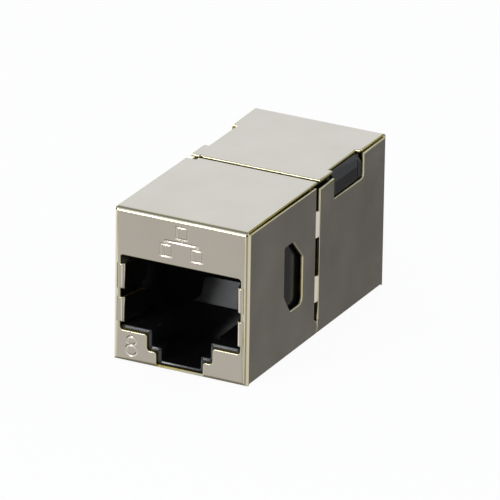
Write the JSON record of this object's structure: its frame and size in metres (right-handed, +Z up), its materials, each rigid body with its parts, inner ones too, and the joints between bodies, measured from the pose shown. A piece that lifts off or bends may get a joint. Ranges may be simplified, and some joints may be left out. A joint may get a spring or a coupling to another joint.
{
  "type": "rj45 inline coupler",
  "caption": "Shielded inline coupler: a metal case folded from two sheets round a black moulding with a modular socket at each end.",
  "frame": {"origin": "centre of the base, under the middle of the case", "axes": "+Z up, the front socket faces -Y and the rear socket faces +Y"},
  "size_m": [0.014, 0.0286, 0.0154],
  "materials": {
    "plated_sheet": "bright nickel plate on brass sheet, bare brass at the cut edges",
    "black_moulding": "black glass-filled PBT, semi-gloss moulded",
    "carrier_moulding": "black PBT",
    "circuit_board": "glass-epoxy laminate under green solder mask",
    "gilt_contact": "gold over nickel on phosphor bronze"
  },
  "bodies": {
    "root": {"front_shield": "plated_sheet", "rear_shield": "plated_sheet", "jack_housing": "black_moulding", "housing_cover": "black_moulding", "contact_board": "circuit_board", "front_contact_carrier": "carrier_moulding", "rear_contact_carrier": "carrier_moulding", "front_contact_1": "gilt_contact", "front_contact_2": "gilt_contact", "front_contact_3": "gilt_contact", "front_contact_4": "gilt_contact", "front_contact_5": "gilt_contact", "front_contact_6": "gilt_contact", "front_contact_7": "gilt_contact", "front_contact_8": "gilt_contact", "rear_contact_1": "gilt_contact", "rear_contact_2": "gilt_contact", "rear_contact_3": "gilt_contact", "rear_contact_4": "gilt_contact", "rear_contact_5": "gilt_contact", "rear_contact_6": "gilt_contact", "rear_contact_7": "gilt_contact", "rear_contact_8": "gilt_contact"}
  },
  "joints": []
}
